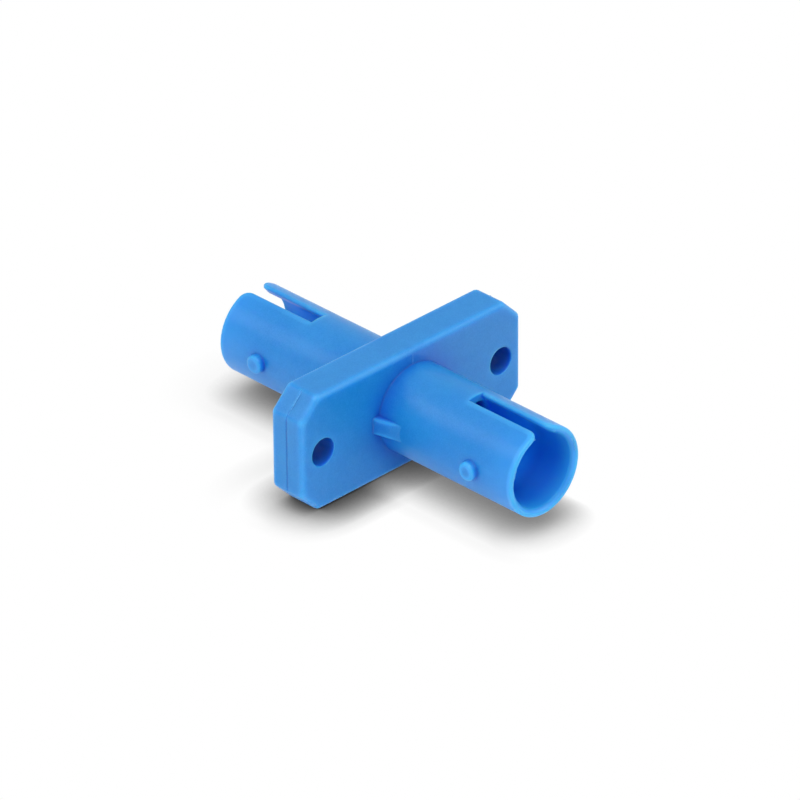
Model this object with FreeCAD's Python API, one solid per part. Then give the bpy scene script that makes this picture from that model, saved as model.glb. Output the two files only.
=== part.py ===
"""ST fibre adapter: two like mouldings welded back to back around a split ceramic sleeve.

Millimetres. The origin is the point where the two ferrules meet: on the barrels' axis, in the
middle of the flange. +Y runs along that axis towards the rear barrel, +X along the flange, +Z up,
through the keyways.
"""
import FreeCAD, Part
import math
import os

from FreeCAD import Vector

# Ferrule and the split sleeve that grips it
ferrule_diameter = 2.5
sleeve_wall = 0.35
sleeve_length = 11.4
sleeve_slit = 0.5
sleeve_end_chamfer = 0.12

# Holder: the inner tube that traps the sleeve
sleeve_clearance = 0.1        # radial, so that the sleeve floats and can open
sleeve_end_clearance = 0.1
holder_wall = 0.55
holder_lip = 0.65             # end wall that keeps the sleeve in
ferrule_clearance = 0.18      # radial, between ferrule and lip
ferrule_lead_in = 0.3         # cone that guides the ferrule into the lip
holder_edge_chamfer = 0.15

# Barrel
plug_gap = 0.65               # room for the plug's nose between holder and barrel
gap_step = 0.2                # the barrel's wall is thicker by this around the holder
barrel_wall = 0.6
overall_length = 29.7
mouth_edge_radius = 0.18      # round of the outer edges of the mouth and the slot
mouth_lead_in = 0.32          # bevel of their inner edges
gap_floor_wall = 0.8          # from the flange's face to the floor of the gap

# Keyway slot in the top of each barrel
slot_width = 1.25
slot_length = 6.87
slot_mouth_radius = 0.75

# Bayonet lugs on both sides of each barrel
lug_diameter = 1.44
lug_height = 0.52
lug_from_mouth = 4.02
lug_edge_width = 0.22         # the soft edge of its end, elliptical
lug_edge_depth = 0.18

# Wedge ribs between flange and barrel
rib_width = 1.36
rib_length = 2.15             # to where its sloping face runs out into the barrel's skin
rib_height_at_flange = 0.55
rib_edge_radius = 0.15

# Flange, half of its thickness on each moulding
flange_width = 22.25
flange_height = 9.4
flange_thickness = 3.2
flange_corner_chamfer = 1.63
flange_corner_radius = 0.5
flange_edge_radius = 0.42
seam_groove = 0.06            # broken edge along the weld, at the ends and corners only

# Screw holes
screw_hole_diameter = 2.2
screw_hole_inset = 2.075      # hole centre from the flange's end

# Locating pin and socket on each half's weld face
pin_diameter = 1.0
pin_height = 0.8
pin_chamfer = 0.15
pin_clearance = 0.05          # radial
socket_end_clearance = 0.1
pin_wall = 0.5                # between the pin's socket and the screw hole

# Worked out from the sizes above
ferrule_radius = ferrule_diameter / 2
sleeve_radius = ferrule_radius + sleeve_wall
chamber_radius = sleeve_radius + sleeve_clearance
chamber_reach = sleeve_length / 2 + sleeve_end_clearance
holder_radius = chamber_radius + holder_wall
holder_reach = chamber_reach + holder_lip
lip_radius = ferrule_radius + ferrule_clearance
bore_radius = holder_radius + plug_gap
barrel_radius = bore_radius + barrel_wall
mouth_reach = overall_length / 2
half_thickness = flange_thickness / 2
gap_floor = half_thickness + gap_floor_wall
screw_hole_x = flange_width / 2 - screw_hole_inset
socket_radius = pin_diameter / 2 + pin_clearance
pin_x = screw_hole_x - screw_hole_diameter / 2 - pin_wall - socket_radius

# Rounds no larger than the wall they are on
edge_radius = min(flange_edge_radius, 0.45 * half_thickness)
corner_radius = max(flange_corner_radius, 1.1 * edge_radius)
mouth_round = min(mouth_edge_radius, 0.35 * barrel_wall, 0.25 * slot_width)
mouth_bevel = min(mouth_lead_in, 0.6 * barrel_wall, 0.35 * slot_width)
slot_radius = min(slot_mouth_radius, 0.4 * slot_length)
rib_radius = min(rib_edge_radius, 0.4 * rib_width, 0.9 * rib_height_at_flange)
lug_round_width = min(lug_edge_width, 0.4 * lug_diameter)
lug_round_depth = min(lug_edge_depth, 0.8 * lug_height)

axis_x = Vector(1, 0, 0)
axis_y = Vector(0, 1, 0)
axis_z = Vector(0, 0, 1)
centre = Vector(0, 0, 0)
past = 1.0                    # how far a cutting shape runs past the face that it cuts


def at(radius, reach):
    """Point of a barrel's half section: reach runs from the weld face towards the mouth, along -Y."""
    return Vector(radius, -reach, 0)


def path(*steps):
    """Closed wire. A step is a point, or a (through, end) pair for an arc from the last point."""
    start = steps[0]
    here = start
    edges = []
    for step in steps[1:] + (start,):
        if isinstance(step, tuple):
            through, end = step
            edges.append(Part.Arc(here, through, end).toShape())
        else:
            end = step
            if here.distanceToPoint(end) > 1e-7:
                edges.append(Part.LineSegment(here, end).toShape())
        here = end
    return Part.Wire(edges)


def round_step(centre_point, radius, first_deg, last_deg):
    """Arc step for path, in the XY plane, about a centre point."""
    def on_arc(degrees):
        turn = math.radians(degrees)
        return centre_point + Vector(radius * math.cos(turn), radius * math.sin(turn), 0)
    return on_arc((first_deg + last_deg) / 2), on_arc(last_deg)


def turned(*steps):
    """Solid turned about the barrels' axis from a half section."""
    return Part.Face(path(*steps)).revolve(centre, axis_y, 360)


def outline(width, height, chamfer, reach):
    """Octagonal outline of the flange with rounded corners, in the plane at the given reach."""
    half_x = width / 2
    half_z = height / 2
    corners = []
    for sign_x, sign_z in ((1, 1), (-1, 1), (-1, -1), (1, -1)):
        side = Vector(sign_x * half_x, -reach, sign_z * (half_z - chamfer))
        top = Vector(sign_x * (half_x - chamfer), -reach, sign_z * half_z)
        corners += [side, top] if sign_x == sign_z else [top, side]
    trim = corner_radius * math.tan(math.radians(22.5))
    sagitta = corner_radius * (1 / math.cos(math.radians(22.5)) - 1)
    edges = []
    last_end = None
    first_start = None
    for index, corner in enumerate(corners):
        before = (corners[index - 1] - corner).normalize()
        after = (corners[(index + 1) % len(corners)] - corner).normalize()
        arc_start = corner + before * trim
        arc_end = corner + after * trim
        arc_middle = corner + (before + after).normalize() * sagitta
        if last_end is None:
            first_start = arc_start
        else:
            edges.append(Part.LineSegment(last_end, arc_start).toShape())
        edges.append(Part.Arc(arc_start, arc_middle, arc_end).toShape())
        last_end = arc_end
    edges.append(Part.LineSegment(last_end, first_start).toShape())
    return Part.Wire(edges)


def flange_half():
    """Half of the flange, with soft front edges and the weld's broken edge at its ends."""
    full = outline(flange_width, flange_height, flange_corner_chamfer, seam_groove)
    chamfer_at_seam = flange_corner_chamfer + seam_groove * (math.sqrt(2) - 1)
    seam = outline(flange_width - 2 * seam_groove, flange_height, chamfer_at_seam, 0)
    plate = Part.Face(full).extrude(Vector(0, seam_groove - half_thickness, 0))
    plate = plate.fuse(Part.makeLoft([seam, full], True, True)).removeSplitter()
    front_edges = [edge for edge in plate.Edges
                   if abs(edge.BoundBox.YMax + half_thickness) < 1e-6]
    return plate.makeFillet(edge_radius, front_edges)


def barrel_body():
    """Outside of the barrel, solid. It meets the flange in a crisp corner."""
    return turned(
        at(0, 0),
        at(0, mouth_reach),
        at(barrel_radius, mouth_reach),
        at(barrel_radius, 0))


def cavity():
    """All that is hollow about the axis: sleeve chamber, lip, the gap round the holder, the bore."""
    edge = min(holder_edge_chamfer, 0.3 * holder_wall)
    lead_in = min(ferrule_lead_in, 0.6 * holder_lip, 0.6 * (holder_radius - edge - lip_radius))
    return turned(
        at(0, -past),
        at(chamber_radius, -past),
        at(chamber_radius, chamber_reach),
        at(lip_radius, chamber_reach),
        at(lip_radius, holder_reach - lead_in),
        at(lip_radius + lead_in, holder_reach),
        at(holder_radius - edge, holder_reach),
        at(holder_radius, holder_reach - edge),
        at(holder_radius, gap_floor),
        at(bore_radius - gap_step, gap_floor),
        at(bore_radius - gap_step, holder_reach),
        at(bore_radius, holder_reach + gap_step),
        at(bore_radius, mouth_reach + past),
        at(0, mouth_reach + past))


def keyway():
    """Cutting shape of the slot in the barrel's top, flared by the rounds of its mouth corners."""
    half = slot_width / 2
    inner = mouth_reach - slot_length
    flare = mouth_reach - slot_radius
    plan = path(
        at(-half, inner),
        at(half, inner),
        at(half, flare),
        round_step(at(half + slot_radius, flare), slot_radius, 180, 270),
        at(half + slot_radius, mouth_reach + past),
        at(-half - slot_radius, mouth_reach + past),
        at(-half - slot_radius, mouth_reach),
        round_step(at(-half - slot_radius, flare), slot_radius, 270, 360))
    base = (holder_radius + bore_radius - gap_step) / 2
    tool = Part.Face(plan).extrude(axis_z * (barrel_radius + past - base))
    tool.translate(axis_z * base)
    return tool


def open_edges(body, skin_radius):
    """Edges of the mouth and of the slot's sides on one skin of the barrel."""
    slot_reach = slot_width / 2 + slot_radius + 1e-3
    slot_end = mouth_reach - slot_length
    chosen = []
    for edge in body.Edges:
        box = edge.BoundBox
        middle = edge.valueAt((edge.FirstParameter + edge.LastParameter) / 2)
        on_skin = abs(math.hypot(middle.x, middle.z) - skin_radius) < 1e-4
        at_mouth = abs(box.YMax + mouth_reach) < 1e-6
        over_slot = abs(middle.x) < slot_reach and middle.z > 0 and box.YMax < 1e-6 - slot_end
        if on_skin and (at_mouth or over_slot and box.YLength > 1e-3):
            chosen.append(edge)
    return chosen


def lug(side):
    """Bayonet lug with a soft end, on the side given as 1 or -1."""
    root = barrel_radius - barrel_wall / 2
    tip = barrel_radius + lug_height
    shoulder = Vector(tip - lug_round_depth, lug_diameter / 2, 0)
    end = Vector(tip, lug_diameter / 2 - lug_round_width, 0)
    arc_centre = Vector(shoulder.x, end.y, 0)
    soft_edge = Part.ArcOfEllipse(Part.Ellipse(shoulder, end, arc_centre), 0, math.pi / 2)
    corners = [end, Vector(tip, 0, 0), Vector(root, 0, 0), Vector(root, lug_diameter / 2, 0), shoulder]
    edges = [soft_edge.toShape()]
    edges += [Part.LineSegment(a, b).toShape() for a, b in zip(corners, corners[1:])]
    pin = Part.Face(Part.Wire(edges)).revolve(centre, axis_x, 360)
    pin.translate(Vector(0, lug_from_mouth - mouth_reach, 0))
    if side < 0:
        pin = pin.mirror(centre, axis_x)
    return pin


def rib(side):
    """Wedge rib that braces the barrel's root against the flange, tapering towards the mouth."""
    depth = barrel_wall / 2
    run_out = rib_length * (1 + depth / rib_height_at_flange)
    plan = path(
        at(barrel_radius - depth, half_thickness / 2),
        at(barrel_radius - depth, half_thickness + run_out),
        at(barrel_radius + rib_height_at_flange, half_thickness),
        at(barrel_radius + rib_height_at_flange, half_thickness / 2))
    wedge = Part.Face(plan).extrude(axis_z * rib_width)
    wedge.translate(axis_z * (-rib_width / 2))
    long_edges = []
    for edge in wedge.Edges:
        box = edge.BoundBox
        slopes = box.YLength > 0.9 * rib_length and box.XLength > 1e-6
        if slopes:
            long_edges.append(edge)
    wedge = wedge.makeFillet(rib_radius, long_edges)
    if side < 0:
        wedge = wedge.mirror(centre, axis_x)
    return wedge


def screw_hole(side):
    """Cutting shape of one screw hole."""
    foot = Vector(side * screw_hole_x, past, 0)
    return Part.makeCylinder(screw_hole_diameter / 2, half_thickness + 2 * past, foot, -axis_y)


def locating_pin():
    """Pin on the weld face that enters the other half's socket."""
    straight = pin_height - pin_chamfer
    place = Vector(pin_x, 0, 0)
    foot = Part.makeCylinder(pin_diameter / 2, half_thickness / 2 + straight,
                             place - axis_y * (half_thickness / 2), axis_y)
    tip = Part.makeCone(pin_diameter / 2, pin_diameter / 2 - pin_chamfer, pin_chamfer,
                        place + axis_y * straight, axis_y)
    return foot.fuse(tip)


def socket():
    """Cutting shape of the socket for the other half's pin."""
    depth = pin_height + socket_end_clearance
    return Part.makeCylinder(socket_radius, depth + past, Vector(-pin_x, past, 0), -axis_y)


def moulding():
    """One half of the adapter, with its barrel towards -Y. Both halves come from this one mould."""
    body = flange_half().fuse([barrel_body(), lug(1), lug(-1), rib(1), rib(-1)])
    body = body.cut(cavity()).cut(keyway()).removeSplitter()
    body = body.makeFillet(mouth_round, open_edges(body, barrel_radius))
    body = body.makeChamfer(mouth_bevel, open_edges(body, bore_radius))
    for side in (1, -1):
        body = body.cut(screw_hole(side))
    body = body.cut(socket())
    body = body.fuse(locating_pin())
    return body.removeSplitter()


def split_sleeve():
    """Ceramic sleeve, slit along its underside so that it springs open round the ferrules."""
    end = sleeve_length / 2
    chamfer = min(sleeve_end_chamfer, 0.4 * sleeve_wall)
    tube = turned(
        at(ferrule_radius, -end + chamfer),
        at(ferrule_radius + chamfer, -end),
        at(sleeve_radius - chamfer, -end),
        at(sleeve_radius, -end + chamfer),
        at(sleeve_radius, end - chamfer),
        at(sleeve_radius - chamfer, end),
        at(ferrule_radius + chamfer, end),
        at(ferrule_radius, end - chamfer))
    slit = Part.makeBox(sleeve_slit, sleeve_length + 2 * past, sleeve_radius + past,
                        Vector(-sleeve_slit / 2, -end - past, -sleeve_radius - past))
    return tube.cut(slit)


def as_solid(shape):
    """The one solid that a shape holds."""
    solids = shape.Solids
    if len(solids) != 1:
        raise ValueError("expected one solid, found %d" % len(solids))
    return solids[0]


def build():
    front = as_solid(moulding())
    rear = front.copy()
    rear.rotate(centre, axis_z, 180)
    return {
        "front_housing": front,
        "rear_housing": rear,
        "alignment_sleeve": as_solid(split_sleeve()),
    }


os.makedirs("parts", exist_ok=True)
for name, solid in build().items():
    solid.exportStep(os.path.join("parts", name + ".step"))
    box = solid.BoundBox
    print("%-18s volume %8.2f mm3, valid %s, box %.2f x %.2f x %.2f mm" % (
        name, solid.Volume, solid.isValid(), box.XLength, box.YLength, box.ZLength))
print("overall across the lugs %.2f mm, screw pitch %.2f mm" % (
    2 * (barrel_radius + lug_height), 2 * screw_hole_x))
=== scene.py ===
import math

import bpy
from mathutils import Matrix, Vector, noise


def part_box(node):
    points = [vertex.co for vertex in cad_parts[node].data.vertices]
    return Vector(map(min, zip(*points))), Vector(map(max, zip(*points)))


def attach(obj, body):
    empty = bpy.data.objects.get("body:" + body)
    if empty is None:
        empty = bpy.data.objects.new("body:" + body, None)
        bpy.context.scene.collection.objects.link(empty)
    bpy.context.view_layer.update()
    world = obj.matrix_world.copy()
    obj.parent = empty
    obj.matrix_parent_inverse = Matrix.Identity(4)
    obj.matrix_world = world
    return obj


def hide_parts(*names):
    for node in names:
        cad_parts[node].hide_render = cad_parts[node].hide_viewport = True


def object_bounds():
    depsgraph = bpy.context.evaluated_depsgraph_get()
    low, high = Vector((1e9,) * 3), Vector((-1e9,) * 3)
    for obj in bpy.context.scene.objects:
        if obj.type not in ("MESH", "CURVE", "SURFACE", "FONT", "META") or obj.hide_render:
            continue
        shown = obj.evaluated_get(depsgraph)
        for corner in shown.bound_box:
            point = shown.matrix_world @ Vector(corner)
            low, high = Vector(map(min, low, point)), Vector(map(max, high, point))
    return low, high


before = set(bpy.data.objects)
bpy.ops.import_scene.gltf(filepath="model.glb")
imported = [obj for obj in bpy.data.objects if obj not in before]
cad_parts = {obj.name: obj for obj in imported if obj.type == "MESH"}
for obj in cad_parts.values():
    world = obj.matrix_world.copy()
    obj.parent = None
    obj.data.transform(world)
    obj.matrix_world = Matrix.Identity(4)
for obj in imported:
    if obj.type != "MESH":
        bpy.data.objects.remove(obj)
cad_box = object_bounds()

# %% [markdown]
# # A fibre adapter, moulded in blue plastic
#
# The object is a small coupler, 30 mm long. Two moulded halves meet in the
# middle of a flange, and each carries a slotted barrel that takes the
# bayonet ring of a plug. The solids come ready made from the frame. This
# lesson gives them their light, their floor and their finish, and adds what
# mould and weld leave behind: parting lines, burrs, a weld bead and a gate's
# scar.

MM = 0.001
scene = bpy.context.scene
housings = [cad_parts["front_housing"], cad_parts["rear_housing"]]
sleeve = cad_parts["alignment_sleeve"]
for name in sorted(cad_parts):
    low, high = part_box(name)
    print(name, [round(v / MM, 2) for v in high - low], "mm")

# %% [markdown]
# ## The camera
#
# The picture looks down on the part from its front left. A long lens gives
# the flat perspective of a product shot. The view is written as two angles
# and a small roll, and the camera backs away along that line. An Empty with
# a Track To constraint could aim it too, but a matrix of three unit vectors
# shows exactly where the picture's right and up are.

# %% Camera
AZIMUTH, ELEVATION, ROLL = (math.radians(a) for a in (-44.759, 30.345, -0.439))
DISTANCE = 0.55
SENSOR = 36.0
LENS_RATIO = 9.53341        # focal length over sensor width
AIM_RIGHT, AIM_UP = 0.2081 * MM, -0.1334 * MM
back = Vector((math.sin(AZIMUTH) * math.cos(ELEVATION),
               -math.cos(AZIMUTH) * math.cos(ELEVATION),
               math.sin(ELEVATION)))
level = Vector((0, 0, 1)).cross(back).normalized()
upright = back.cross(level)
right = level * math.cos(ROLL) + upright * math.sin(ROLL)
up = upright * math.cos(ROLL) - level * math.sin(ROLL)
aim = right * AIM_RIGHT + up * AIM_UP

camera_data = bpy.data.cameras.new("camera")
camera_data.sensor_width = SENSOR
camera_data.lens = LENS_RATIO * SENSOR
camera_data.clip_start = 0.01
camera = bpy.data.objects.new("camera", camera_data)
camera.matrix_world = (Matrix.Translation(aim + back * DISTANCE)
                       @ Matrix((right, up, back)).transposed().to_4x4())
scene.collection.objects.link(camera)
scene.camera = camera
print("lens", round(camera_data.lens, 1), "mm at", DISTANCE, "m")

# %% [markdown]
# ## Shader maths as Python
#
# A material is a graph, but a graph is hard to read as code. One small class
# wraps a socket and overloads the arithmetic signs, so that a formula such
# as `1 - mask * 0.3` builds its own Math nodes. Every other node comes from
# one method that takes the node's type, its settings and its inputs.

# %% The socket class
class Wire:
    """A value that runs through a node tree."""

    def __init__(self, tree, socket=None):
        self.tree, self.socket = tree, socket

    def fill(self, node, **inputs):
        """Give a node's sockets their values or links. i0 is its first socket."""
        for key, value in inputs.items():
            numbered = key[0] == "i" and key[1:].isdigit()
            place = int(key[1:]) if numbered else key.replace("_", " ")
            if isinstance(value, Wire):
                self.tree.links.new(value.socket, node.inputs[place])
            else:
                node.inputs[place].default_value = value

    def node(self, kind, settings=None, out=0, **inputs):
        """Make a node, set it up, fill its sockets and take one output."""
        made = self.tree.nodes.new("ShaderNode" + kind)
        for key, value in (settings or {}).items():
            setattr(made, key, value)
        self.fill(made, **inputs)
        return Wire(self.tree, made.outputs[out])

    def maths(self, operation, a, b=0.0):
        return self.node("Math", {"operation": operation}, i0=a, i1=b)

    def __add__(self, other):
        return self.maths("ADD", self, other)

    def __sub__(self, other):
        return self.maths("SUBTRACT", self, other)

    def __rsub__(self, other):
        return self.maths("SUBTRACT", other, self)

    def __mul__(self, other):
        return self.maths("MULTIPLY", self, other)

    def __pow__(self, other):
        return self.maths("POWER", self, other)

    __radd__ = __add__
    __rmul__ = __mul__

    def larger(self, other):
        return self.maths("MAXIMUM", self, other)

    def band(self, low, high):
        """0 below low, 1 above high, with a soft change between."""
        return self.node("MapRange", {"interpolation_type": "SMOOTHSTEP"},
                         Value=self, From_Min=low, From_Max=high)

    def past(self, low, high):
        """The same for a length, with the limits in millimetres."""
        return self.band(low * MM, high * MM)

    def within(self, low, high):
        """1 below low, 0 above high, with the limits in millimetres."""
        return 1 - self.past(low, high)

    def mix(self, first, second):
        """A colour that is first where this value is 0, second where it is 1."""
        return self.node("Mix", {"data_type": "RGBA"}, out=2,
                         i0=self, i6=first, i7=second)


print("socket class ready")

# %% [markdown]
# Three helpers start each material: one makes it with its Principled shader,
# one gives the place of a point on the part, in metres, and splits it into
# x, y and z, and one puts the material on an object.

# %% Material helpers
def new_material(name):
    """A material with its Principled shader, and a Wire to start from."""
    made = bpy.data.materials.new(name)
    made.use_nodes = True
    shader = made.node_tree.nodes["Principled BSDF"]
    return made, shader, Wire(made.node_tree)


def place_on_part(wire):
    """The Object coordinates, and their x, y and z."""
    place = wire.node("TexCoord", out=3)
    return place, *(wire.node("SeparateXYZ", out=i, Vector=place) for i in range(3))


def dress(obj, material):
    obj.data.materials.clear()
    obj.data.materials.append(material)


print("material helpers ready")

# %% [markdown]
# ## A white floor that keeps the shadow
#
# Studio pictures of small parts have a floor that burns out to white, with
# one soft shadow close under the part. More light would do that, but it
# would bleach the plastic too. Here the floor is matte white and glows a
# little, like a light table, for every ray that lights the part. Only the
# rays that look at it see a clean white, darkened where the part is near.
# The floor has nine patches. Only the middle one, under the part, needs the
# nodes that find the shadow, which keeps the render short.

# %% Floor mesh
FLOOR_EDGE = 2.0            # metres from the middle of the floor
PATCH_ROOM = 8 * MM         # how far the middle patch reaches past the part
MIDDLE_PATCH = 4
low, high = cad_box
lines_x = (-FLOOR_EDGE, low.x - PATCH_ROOM, high.x + PATCH_ROOM, FLOOR_EDGE)
lines_y = (-FLOOR_EDGE, low.y - PATCH_ROOM, high.y + PATCH_ROOM, FLOOR_EDGE)
floor_mesh = bpy.data.meshes.new("floor")
floor_mesh.from_pydata([(x, y, low.z) for y in lines_y for x in lines_x], [],
                       [(r * 4 + c, r * 4 + c + 1, r * 4 + c + 5, r * 4 + c + 4)
                        for r in range(3) for c in range(3)])
floor = bpy.data.objects.new("floor", floor_mesh)
scene.collection.objects.link(floor)
print("floor at", round(low.z / MM, 2), "mm")

# %% [markdown]
# Occlusion nodes measure how near the part is. Their half spheres lean to
# different sides, so that the shadow stays tight under the barrels' lower
# outline as in the picture, and two of them act only under one end of the
# part.

# %% How open the floor is
FLOOR_LEAN = 55             # degrees from straight up
FRONT, RIGHT, LEFT = 0, 90, -90
FRONT_RIGHT, FRONT_LEFT, REAR_LEFT = 45, -45, 225
ahead = Vector((back.x, back.y, 0)).normalized()


def leaning(turn, tilt):
    """A direction tilted from straight up, turned from the front to the right."""
    turn, tilt = math.radians(turn), math.radians(tilt)
    side = ahead * math.cos(turn) + level * math.sin(turn)
    return side * math.sin(tilt) + Vector((0, 0, math.cos(tilt)))


def openness(wire, reach, turn, strength):
    """1 where no part is within reach (mm) on the side it leans to, less
    where one is. Strength says how dark that makes the floor."""
    x, y, z = leaning(turn, FLOOR_LEAN)
    normal = wire.node("CombineXYZ", X=x, Y=y, Z=z)
    free = wire.node("AmbientOcclusion", {"samples": 12}, out=1,
                     Distance=reach * MM, Normal=normal)
    return free ** strength


def floor_shade(wire):
    """1 on the open floor, less where the part's shadow is painted."""
    _, x, y, _ = place_on_part(wire)
    under_left = (0 - x).past(3, 6)
    under_rear = y.past(3, 6)
    shade = (openness(wire, 3, LEFT, 0.73)
             * openness(wire, 3, FRONT_RIGHT, 0.51)
             * openness(wire, 4, REAR_LEFT, under_left * 0.38)
             * openness(wire, 6, FRONT, under_rear * 0.32))
    # Beyond the flange's right end the painted shadow fades out, from 3.5 to 7 mm.
    return shade ** (x.within(3.5, 7) * 2.2)


print("shadow looks", FLOOR_LEAN, "degrees to the side")

# %% Floor finish
BLACK, WHITE = (0, 0, 0, 1), (1, 1, 1, 1)


def studio_white(name, near_part):
    """Matte white that glows a little, and a clean white to rays that look, with the
    part's shadow painted in when near_part is true.
    """
    material, shader, wire = new_material(name)
    wire.fill(shader, Base_Color=(0.85, 0.85, 0.85, 1), Roughness=1.0,
              Specular_IOR_Level=0.0, Emission_Color=WHITE,
              Emission_Strength=0.127)
    seen = floor_shade(wire).mix(BLACK, WHITE) if near_part else WHITE
    glow = wire.node("Emission", Color=seen, Strength=1.0)
    both = wire.node("MixShader", i0=wire.node("LightPath"),
                     i1=Wire(wire.tree, shader.outputs[0]), i2=glow)
    wire.fill(wire.tree.nodes["Material Output"], Surface=both)
    return material


dress(floor, studio_white("studio_floor", False))
floor_mesh.materials.append(studio_white("studio_floor_near", True))
floor_mesh.polygons[MIDDLE_PATCH].material_index = 1
print("floor has", len(floor_mesh.materials), "whites")

# %% [markdown]
# ## Light like a tent
#
# The part was lit by a tent: soft light from all round, and a little more
# of it from above the camera and from both sides. The world gives the even
# part. The brightest disc hangs high over the camera, and three lower ones
# lift the left end, the front and the flange's right half. Each disc's power
# is worked out from the light that it should throw on a face that looks
# straight at it, so a colour renders about as it is written. A picture of a
# studio wrapped round the world would light it too, but a disc can be moved
# and measured by itself. The Standard view shows the colours unchanged.

# %% World and lamps
LAMP_ACROSS, LAMP_AWAY = 0.22, 0.45
scene.view_settings.view_transform = "Standard"
world = bpy.data.worlds.new("tent")
scene.world = world
world.use_nodes = True
sky = world.node_tree.nodes["Background"]
Wire(world.node_tree).fill(sky, Color=WHITE, Strength=0.616)


def disc_lamp(name, turn, height, share):
    """A round lamp that looks at the part, its turn counted in degrees from
    the front towards the right. A share of 1 alone would render a face that
    looks at it at its full colour."""
    way = leaning(turn, 90 - height)
    data = bpy.data.lights.new(name, "AREA")
    data.shape, data.size = "DISK", LAMP_ACROSS
    data.energy = share * math.pi ** 2 * LAMP_AWAY ** 2
    lamp = bpy.data.objects.new(name, data)
    lamp.location = way * LAMP_AWAY
    lamp.rotation_euler = (-way).to_track_quat("-Z", "Y").to_euler()
    scene.collection.objects.link(lamp)
    print(name, round(data.energy, 3), "W")


disc_lamp("over_camera", FRONT, height=65, share=0.33)
disc_lamp("left", LEFT, height=38, share=0.083)
disc_lamp("front_left", FRONT_LEFT, height=38, share=0.096)
disc_lamp("right", RIGHT, height=38, share=0.13)

# %% [markdown]
# ## One welded body
#
# The two halves of the real part are welded for good: ultrasound melts their
# meeting faces, and after that light passes through the joint as if it were
# not there. Two separate meshes would show a dark line on the seam, because
# light that spreads inside one mesh can't cross into the next. So the looks
# need one skin. It could be modelled afresh, but the solids already have the
# right shape. Here their faces are sewn together, leaving out the two weld
# faces and the locating pins that hide between them. Each corner keeps the
# normal of the exact surface, so that rounds and barrels shade smoothly.

# %% Faces that the weld hides
PIN_AT = 6.9 * MM           # the locating pins and their sockets, at +x and -x
PIN_ROOM = 0.62 * MM
PIN_REACH = 1.2 * MM
SAME = 1e-7                 # points closer than this are one point


def hidden_in_the_weld(corners):
    """True for a face that lies in the weld or belongs to a pin or socket."""
    if all(abs(corner.y) < SAME for corner in corners):
        return True
    middle = sum(corners, Vector()) / len(corners)
    off_pin = math.hypot(abs(middle.x) - PIN_AT, middle.z)
    return off_pin < PIN_ROOM and abs(middle.y) < PIN_REACH


print("faces before the weld", sum(len(h.data.polygons) for h in housings))

# %% Sew the two halves into one skin
points, known, faces, normals = [], {}, [], []
for housing in housings:
    mesh = housing.data
    for face in mesh.polygons:
        corners = [mesh.vertices[i].co for i in face.vertices]
        if hidden_in_the_weld(corners):
            continue
        sewn = []
        for corner in corners:
            key = tuple(round(v / SAME) for v in corner)
            if key not in known:
                known[key] = len(points)
                points.append(corner.copy())
            sewn.append(known[key])
        if len(set(sewn)) == len(sewn):
            faces.append(sewn)
            normals += [mesh.corner_normals[i].vector.copy() for i in face.loop_indices]

skin = bpy.data.meshes.new("welded_housing")
skin.from_pydata(points, [], faces)
skin.shade_smooth()
skin.normals_split_custom_set(normals)
housing_piece = bpy.data.objects.new("welded_housing", skin)
scene.collection.objects.link(housing_piece)
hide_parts("front_housing", "rear_housing")
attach(housing_piece, "root")
print(len(points), "points,", len(faces), "faces")

# %% [markdown]
# A closed skin has two faces on every edge. Light that spreads inside would
# leak out of a hole, so the edges are counted.

# %% Is the skin closed?
shared = {}
for face in skin.polygons:
    for edge in face.edge_keys:
        shared[edge] = shared.get(edge, 0) + 1
print(sum(1 for n in shared.values() if n != 2), "open edges of", len(shared))

# %% [markdown]
# ## The housing's plastic
#
# The halves are moulded in a polyester coloured right through. It isn't
# opaque: light goes in, spreads about a millimetre and comes out bluer.
# Subsurface scattering gives most of that. The rest is painted light and
# shade that follows the shape. A deeper blue is painted as shade in corners,
# holes, the groove and the bore. A paler blue is painted as light towards the
# mouths, in the bore past the keyways and at its lips, and as highlights on
# the edges. It could be painted on an image, but a formula has no seams and
# no pixels. First come three noises of different size: broad clouds of
# colour, the marks of the flowing melt, and the sparked skin of the mould.

# %% Three sizes of speckle
CLOUDS, FLOW_MARKS, SPARKS = 260.0, 1400.0, 9000.0      # lumps in a metre
plastic, shader, wire = new_material("blue_moulded_plastic")
place, x, y, z = place_on_part(wire)


def speckle(lumps, detail, seed):
    return wire.node("TexNoise", {"noise_dimensions": "4D"}, Vector=place,
                     W=seed, Scale=lumps, Detail=detail, Roughness=0.55)


cloud = speckle(CLOUDS, detail=3.0, seed=2.0)
flow = speckle(FLOW_MARKS, detail=4.0, seed=7.0)
grain = speckle(SPARKS, detail=2.0, seed=11.0)
tone = (cloud * 0.2 + flow * 0.25 + grain * 0.55).band(0.38, 0.62)
print("lumps", [round(1 / n / MM, 2) for n in (CLOUDS, FLOW_MARKS, SPARKS)], "mm")

# %% [markdown]
# ### Where shade and highlights are painted
#
# Two Ambient Occlusion nodes look at the shape. The one that looks outwards
# finds corners, holes and the bore, where a deeper blue is painted as shade.
# It stands in for light that has passed through plastic many times and comes
# out a pure deep blue. The one that looks inwards finds edges, lugs and thin
# lips, where a paler blue is painted as a highlight. It stands in for light
# that comes in from two sides and leaves after a short way. Both see this
# piece alone, so neither the floor nor a neighbour colours the plastic.

# %% Two looks at the shape
OUTWARDS, INWARDS = 3.0, 0.55           # millimetres
ALONE = {"samples": 8, "only_local": True}
near = 1 - wire.node("AmbientOcclusion", ALONE, out=1, Distance=OUTWARDS * MM)
thin = 1 - wire.node("AmbientOcclusion", {**ALONE, "inside": True}, out=1,
                     Distance=INWARDS * MM)
both_sides = thin * (1 - near)
print("looks", OUTWARDS, "mm outwards and", INWARDS, "mm inwards")

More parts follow.
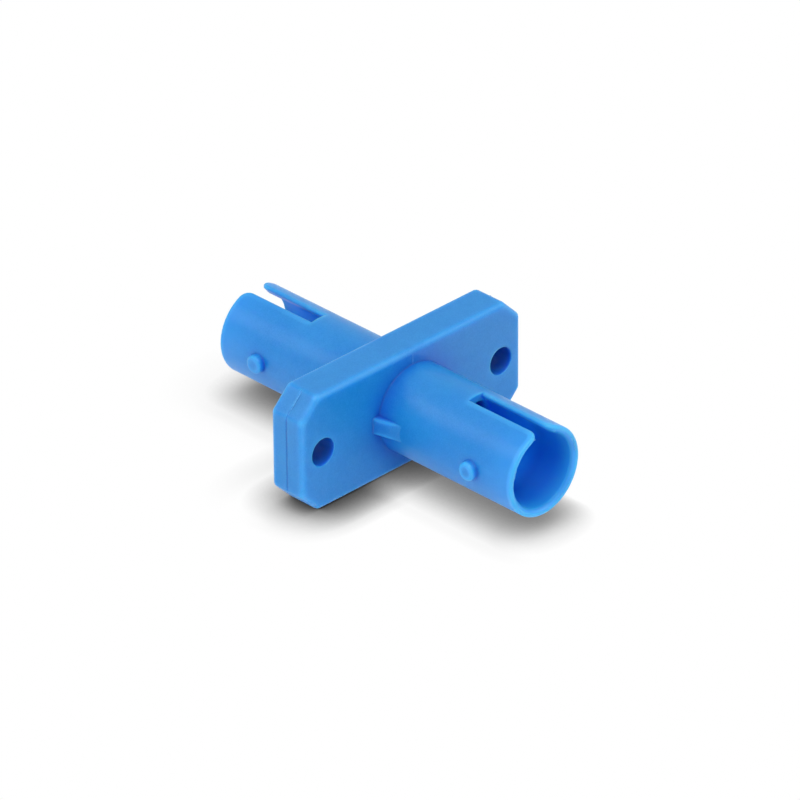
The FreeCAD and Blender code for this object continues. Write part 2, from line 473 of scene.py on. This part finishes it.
# %% [markdown]
# ### Masks that follow the part's sizes
#
# Occlusion can't tell a screw hole from the bore, or one end of the keyway
# from the other. Their blues differ in the picture, so a few masks find them
# by their distance from the part's middle, its axis and the holes. The part's
# real sizes are written once. A mask is a product of limits in millimetres,
# each with a soft change between its two numbers.

# %% Sizes that the finish follows, in millimetres
BORE, MOUTH = 2.9, 14.85            # the bore's radius, the mouth's distance
HOLE, HOLE_AT = 1.1, 9.05           # a screw hole's radius and its place
FACE, END = 1.6, 11.125             # the flange's outer face and its end
aside, depth = x.maths("ABSOLUTE", x), y.maths("ABSOLUTE", y)
from_axis = (x ** 2 + z ** 2) ** 0.5
from_hole = ((aside - HOLE_AT * MM) ** 2 + z ** 2) ** 0.5
print("mouth to mouth", 2 * MOUTH, "mm, flange", 2 * END, "mm")

# %% Masks
# All of the skin but the bore. Past its front end the bore is painted lighter,
# for the light that the keyways let in, and it is painted lighter at its lips;
# elsewhere the bore is painted a deeper blue as shade.
outside = from_axis.past(BORE + 0.01, BORE + 0.20)
past_front_end = y.past(-11.8, -10.2)
lip_light = depth.past(13.0, 14.55)
# The screw holes, as deep as the flange, painted a darker blue as shade.
hole_shade = from_hole.within(HOLE + 0.02, HOLE + 0.12) * depth.within(FACE - 0.5, FACE)
# Painted shade in corners and hollows, less in the open keyway and most at its inner end.
keyway = aside.within(0.7, 1.1) * z.past(2.2, 2.6) * depth.past(7.9, 8.6)
corner_shade = near.band(0.04, 0.75) * (1 - keyway * 0.55)
# The keyway's inner end gets the darkest painted shade.
keyway_end_shade = near.band(0.8, 0.97) * depth.within(8.6, 10.0)
# The groove over the weld, in the flange's two ends, painted darker as shade.
groove_shade = aside.past(END - 0.105, END - 0.065) * depth.within(0.05, 0.17)
# Painted light: the barrels turn a lighter blue towards their mouths.
mouth_light = depth.past(11.0, 14.8)
print("masks made,", len(plastic.node_tree.nodes), "nodes so far")

# %% [markdown]
# Painted highlights on the edges need a mask of their own. As in the picture,
# they stay away from the holes and the bore, and are weaker along the keyway
# and on the rear barrel's end. The mouth's rim always gets a little painted
# highlight. The flange's sharpest corners get a second, paler painted
# highlight on top.

# %% Painted edge highlights
beside_slot = aside.within(1.0, 1.6) * z.past(2.4, 2.8) * depth.within(13.6, 14.4)
highlight_reach = (from_hole.past(HOLE + 0.1, HOLE + 0.8) * outside
       * (1 - y.past(9, 12) * 0.6) * (1 - beside_slot * 0.5))
rim_highlight = depth.past(MOUTH - 0.19, MOUTH - 0.03) * 0.6
# Painted highlight along the edges and round the mouth's rim.
edge = both_sides.band(0.045, 0.31).larger(rim_highlight) * highlight_reach
crest_highlight = both_sides.band(0.19, 0.33) * highlight_reach * depth.within(FACE + 0.1, FACE + 0.5)
print("edges made,", len(plastic.node_tree.nodes), "nodes so far")

# %% [markdown]
# ### The blues, laid on in turn
#
# Each blue goes over the ones before it through its mask, from the broad
# areas to the fine ones. DEEP and PALE are the plastic's own tones. The rest
# are painted light and shade: lighter blues towards the mouths, in the bore
# and as highlights on edges, deeper blues as shade in corners, the keyway's
# end, the holes, the groove and the bore. All of them are linear colours. The
# deep ones have almost no red, because the pigment swallows it first.

# %% The blues
DEEP, PALE = (0.003, 0.240, 0.635, 1), (0.018, 0.280, 0.690, 1)
# Painted light towards the barrels' mouths.
PAINTED_MOUTH_LIGHT = (0.018, 0.320, 0.78, 1)
# Painted shade deep in the bore, and painted light where the keyways let light in.
PAINTED_BORE_SHADE, PAINTED_KEYWAY_LIGHT = (0.0002, 0.200, 0.70, 1), (0.004, 0.355, 0.92, 1)
# Painted light at the bore's lips.
PAINTED_LIP_LIGHT = (0.010, 0.300, 0.70, 1)
# Painted shade in corners and hollows.
PAINTED_CORNER_SHADE = (0.002, 0.112, 0.64, 1)
# Painted shade, darkest, at the keyway's inner end.
PAINTED_END_SHADE = (0.001, 0.06, 0.42, 1)
# Painted shade in the screw holes.
PAINTED_HOLE_SHADE = (0.0003, 0.110, 0.51, 1)
PAINTED_GROOVE_SHADE = (0.006, 0.17, 0.56, 1)
# Painted highlights on the edges and on the flange's sharpest corners.
PAINTED_EDGE_HIGHLIGHT, PAINTED_CREST_HIGHLIGHT = (0.048, 0.395, 0.86, 1), (0.105, 0.500, 0.94, 1)

surface = (mouth_light * 0.6).mix(tone.mix(DEEP, PALE), PAINTED_MOUTH_LIGHT)
inner = lip_light.mix(past_front_end.mix(PAINTED_BORE_SHADE, PAINTED_KEYWAY_LIGHT), PAINTED_LIP_LIGHT)
colour = outside.mix(inner, corner_shade.mix(surface, PAINTED_CORNER_SHADE))
layers = ((keyway_end_shade, PAINTED_END_SHADE), (hole_shade, PAINTED_HOLE_SHADE), (groove_shade, PAINTED_GROOVE_SHADE),
          (edge, PAINTED_EDGE_HIGHLIGHT), (crest_highlight, PAINTED_CREST_HIGHLIGHT))
for mask, blue in layers:
    colour = mask.mix(colour, blue)
print(len(layers), "fine blues laid over the broad ones")

# %% [markdown]
# ### Gloss and skin
#
# The sparked skin makes the gloss uneven, and it is duller in the bore and
# in deep corners. No moulded corner is truly sharp. Small rounds could be
# modelled, but they would add many faces, so a Bevel node only turns the
# normals a little where faces meet. The bumps go on top of that.

# %% Gloss, bumps and the finished plastic
GLOSS, DULLER = 0.30, 0.25
ROUNDED = 0.18 * MM
gloss = (GLOSS + flow * 0.14 + (1 - outside) * DULLER
         + near.band(0.3, 0.7) * outside * DULLER)
soft = wire.node("Bevel", {"samples": 6}, Radius=ROUNDED)
bump = wire.node("Bump", Strength=0.1, Distance=0.02 * MM,
                 Height=flow * 0.3 + grain * 0.7, Normal=soft)
wire.fill(shader, Base_Color=colour, Roughness=gloss, Normal=bump,
          Specular_IOR_Level=0.5, Subsurface_Weight=1.0,
          Subsurface_Radius=(0.3, 0.9, 1.2), Subsurface_Scale=1.0 * MM)
for piece in (housing_piece, *housings):
    dress(piece, plastic)
print("plastic on", housing_piece.name)

# %% [markdown]
# ## What the mould and the weld leave
#
# Real mouldings keep traces of their tool. Plastic creeps into every joint of
# the mould and leaves a thread of flash, too thin to measure and easy to see.
# Such a thread could be a bump, but a bump has no outline, and a bevelled
# curve has an even one. Here it is a real strand, swept along a path with an
# uneven radius and sunk half into the surface. It is too thin to scatter
# light deeply, so the same plastic looks paler there.

# %% The plastic where it is thin
def thin_plastic(name, deep, pale):
    material, shader, wire = new_material(name)
    place = place_on_part(wire)[0]
    lumps = wire.node("TexNoise", Vector=place, Scale=6000.0, Detail=2.0)
    bump = wire.node("Bump", Strength=0.15, Distance=0.01 * MM, Height=lumps)
    wire.fill(shader, Base_Color=lumps.band(0.35, 0.65).mix(deep, pale),
              Roughness=0.26 + lumps * 0.2, Normal=bump)
    print(name)
    return material


flash_plastic = thin_plastic("thin_flash_plastic", (0.050, 0.360, 0.80, 1),
                             (0.120, 0.470, 0.92, 1))

# %% [markdown]
# A strand is a row of small rings, each joined to the next, with a cap on
# both ends. The gate's scar is built from rings in the same way, so the faces
# come from one helper. Noise makes the rings thick and thin.

# %% A strand of flash
STEP = 0.07 * MM            # from ring to ring
SIDES = 6
ROUGH = 7000                # lumps in a metre of strand
THINNEST, THICKEST = 0.25, 1.4
TIP, TAPER = 0.02, 4        # a tip's share of the radius, and its rings
ASKEW = Vector((0.31, 0.47, 0.83))      # not along any strand


def ring_faces(rings, sides):
    """Quads between rings of points, and a cap on both ends."""
    quads = [(r * sides + k, r * sides + (k + 1) % sides,
              (r + 1) * sides + (k + 1) % sides, (r + 1) * sides + k)
             for r in range(rings - 1) for k in range(sides)]
    last = (rings - 1) * sides
    return quads + [tuple(range(sides))[::-1], tuple(range(last, last + sides))]


def strand(path, radius, seed):
    """Points and faces of an uneven thread that runs out to a tip at both ends."""
    line = [path[0]]
    for start, end in zip(path, path[1:]):
        count = max(1, round((end - start).length / STEP))
        line += [start.lerp(end, (i + 1) / count) for i in range(count)]
    points, last = [], len(line) - 1
    front, rear = cad_box[0].y, cad_box[1].y
    for i, centre in enumerate(line):
        along = (line[min(i + 1, last)] - line[max(i - 1, 0)]).normalized()
        side = along.cross(ASKEW).normalized()
        other = along.cross(side)
        lump = 0.75 + 0.9 * noise.noise(centre * ROUGH + Vector((seed, 0, 0)))
        run_out = min(1.0, TIP + i / TAPER, TIP + (last - i) / TAPER)
        size = radius * min(max(lump, THINNEST), THICKEST) * run_out
        for a in (2 * math.pi * k / SIDES for k in range(SIDES)):
            p = centre + (side * math.cos(a) + other * math.sin(a)) * size
            # No burr stands past the mouths: the part is measured over them.
            points.append(Vector((p.x, min(max(p.y, front), rear), p.z)))
    return points, ring_faces(len(line), SIDES)


print("strands have", SIDES, "sides and a ring every", round(STEP / MM, 2), "mm")

# %% [markdown]
# Both halves come from one mould, so a strand is drawn once and turned half
# a turn for the other half. Several strands make one piece, which rides on
# the part and wears the thin flash plastic.

# %% A piece made of strands
TURNED = Matrix.Rotation(math.pi, 3, "Z")


def add_piece(name, shells, material):
    """One piece from several shells, each with its points and its faces."""
    points, faces = [], []
    for more, corners in shells:
        start = len(points)
        points += more
        faces += [tuple(start + c for c in face) for face in corners]
    mesh = bpy.data.meshes.new(name)
    mesh.from_pydata(points, [], faces)
    mesh.shade_smooth()
    piece = bpy.data.objects.new(name, mesh)
    scene.collection.objects.link(piece)
    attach(piece, "root")
    dress(piece, material)
    print(name, len(faces), "faces")


def trace(name, lines, rear_too=True):
    """Strands of flash, each given by its radius and its path in millimetres."""
    shells = []
    for number, (radius, path) in enumerate(lines):
        path = [Vector(p) * MM for p in path]
        for half in (path, [TURNED @ p for p in path])[:1 + rear_too]:
            shells.append(strand(half, radius * MM, number * 3.7))
    add_piece(name, shells, flash_plastic)


print("half a turn takes +x to", [round(v) for v in TURNED @ Vector((1, 0, 0))])

# %% [markdown]
# ## Weld bead and parting lines
#
# The weld squeezes a little melt into the groove round the flange's ends. It
# shows as a pale thread on the cut corners. On the end faces the groove stays
# open, and the housing's colour paints it darker there as shade. The mould of
# each half opens to both sides of the keyway, so its parting line runs down
# the middle: over the flange's face above and below the barrel, and all along
# the barrel's underside.

# %% Bead and lines
SEAM, LINE_AT = 0.06, 0.03  # a bead's y and a parting line's x
trace("weld_bead", [(0.060, [(9.59, SEAM, 4.63), (11.06, SEAM, 3.13)]),
                    (0.035, [(9.56, SEAM, -4.60), (11.03, SEAM, -3.10)])])
over = [(LINE_AT, -FACE, 3.46), (LINE_AT, -FACE, 4.30)]
below = [(LINE_AT, -FACE, -3.55), (LINE_AT, -FACE, -4.28)]
underside = [(LINE_AT, -1.62, -3.50), (LINE_AT, -14.60, -3.50)]
trace("parting_lines", [(0.040, over), (0.030, below), (0.020, underside)])

# %% [markdown]
# ## Burrs at the keyway and on the mouth
#
# The core that shapes the keyway slides against the core of the bore, and
# such a joint wears first. Its burrs sit on the inner edges of the keyway's
# two rounded corners, the right one longer and more ragged. The mouth's
# inner bevel keeps three short arcs of flash. Burrs come and go from one
# moulding to the next, and the rear half in the picture has none, so these
# are drawn on the front half alone.

# %% Paths for burrs
KEYWAY = 0.625              # half the keyway's width
ROUND_AT_MOUTH = 0.75       # the radius of the keyway's two corners
BEVEL = 0.32                # the mouth's inner bevel
FLASH_RADIUS = 3.16         # of the arcs on that bevel


def lip(side, start, end, lift):
    """A path along the inner edge of a keyway corner, angles in degrees."""
    path = []
    for i in range(9):
        a = math.radians(start + (end - start) * i / 8)
        x = side * (KEYWAY + ROUND_AT_MOUTH * (1 - math.cos(a)))
        y = -MOUTH + ROUND_AT_MOUTH * (1 - math.sin(a))
        reach = BORE + max(0.0, BEVEL - MOUTH - y) + lift
        path.append((x, max(y, -MOUTH + 0.07), math.sqrt(reach ** 2 - x ** 2)))
    return path


def arc(start, end):
    """A path round the mouth's inner bevel, angles counted from +x to +z."""
    return [(FLASH_RADIUS * math.cos(math.radians(a)), -MOUTH + 0.055,
             FLASH_RADIUS * math.sin(math.radians(a)))
            for a in range(start, end + 1, 2)]


print("a keyway corner turns", ROUND_AT_MOUTH, "mm round")

# %% Burrs
spur = [(0.86, -14.66, 2.94), (0.90, -14.72, 3.30)]
inner_edge = [(-0.61, -8.2, 2.86), (-0.61, -9.6, 2.86)]
trace("keyway_burrs", [(0.075, lip(-1, 22, 62, lift=0.03)),
                       (0.055, lip(-1, 50, 86, lift=0.10)),
                       (0.090, lip(1, 58, 89, lift=-0.07)),
                       (0.120, spur), (0.040, inner_edge)], rear_too=False)
trace("mouth_flash", [(0.055, arc(6, 34)), (0.045, arc(150, 172)),
                      (0.035, arc(292, 330))], rear_too=False)

# %% [markdown]
# ## The gate's scar
#
# Each half was filled through a small gate on the flange's outer face, low
# beside the barrel, where no plug touches it. The sprue breaks off and leaves
# a low uneven disc with a torn middle. Its height is a few hundredths of a
# millimetre, so the flange still lies flat on a panel. It could be sculpted,
# but five wobbling rings of points are enough, and they come out the same
# every time.

# %% Gate scars
AROUND = 20                 # points in a ring
GATE_X, GATE_Z = 6.4, -3.25
# Each ring's radius and its height over the face. The first lies inside it.
RINGS = ((0.46, -0.01), (0.42, 0.030), (0.26, 0.022), (0.20, 0.045), (0.09, 0.060))
scar = []
for radius, height in RINGS:
    for k in range(AROUND):
        a = 2 * math.pi * k / AROUND
        sample = Vector((math.cos(a), math.sin(a), radius * 9)) * 2
        wobble = 1 + 0.12 * noise.noise(sample)
        scar.append(Vector((GATE_X + radius * wobble * math.cos(a),
                            -FACE - height * wobble,
                            GATE_Z + radius * wobble * math.sin(a))) * MM)
add_piece("gate_scars", [([turn @ p for p in scar], ring_faces(len(RINGS), AROUND))
                         for turn in (Matrix.Identity(3), TURNED)],
          thin_plastic("torn_gate_plastic", (0.016, 0.270, 0.67, 1),
                       (0.045, 0.335, 0.77, 1)))

# %% [markdown]
# ## The ceramic sleeve
#
# Between the two plugs lies a split tube of polished zirconia, off-white and
# a little warm. It hides behind the holders' lips and shows only from
# straight in front. Real zirconia is dense and glossy, with faint grinding
# rings round it. The solid's shape is right, so it keeps its mesh and only
# gets a material: a low roughness, soft clouds in the white, and fine rings
# from a Wave texture that runs along the axis.

# %% Ceramic
ceramic, shader, wire = new_material("zirconia_ceramic")
place = place_on_part(wire)[0]
rings = wire.node("TexWave", {"bands_direction": "Y"}, out=1, Vector=place,
                  Scale=1800.0, Distortion=0.6, Detail=1.0)
cloud = wire.node("TexNoise", Vector=place, Scale=700.0, Detail=3.0)
colour = cloud.band(0.3, 0.7).mix((0.80, 0.79, 0.74, 1), (0.88, 0.87, 0.82, 1))
bump = wire.node("Bump", Strength=0.05, Distance=0.004 * MM, Height=rings)
wire.fill(shader, Base_Color=colour, Roughness=0.14 + rings * 0.1, Normal=bump)
dress(sleeve, ceramic)
print("ceramic on", sleeve.name)
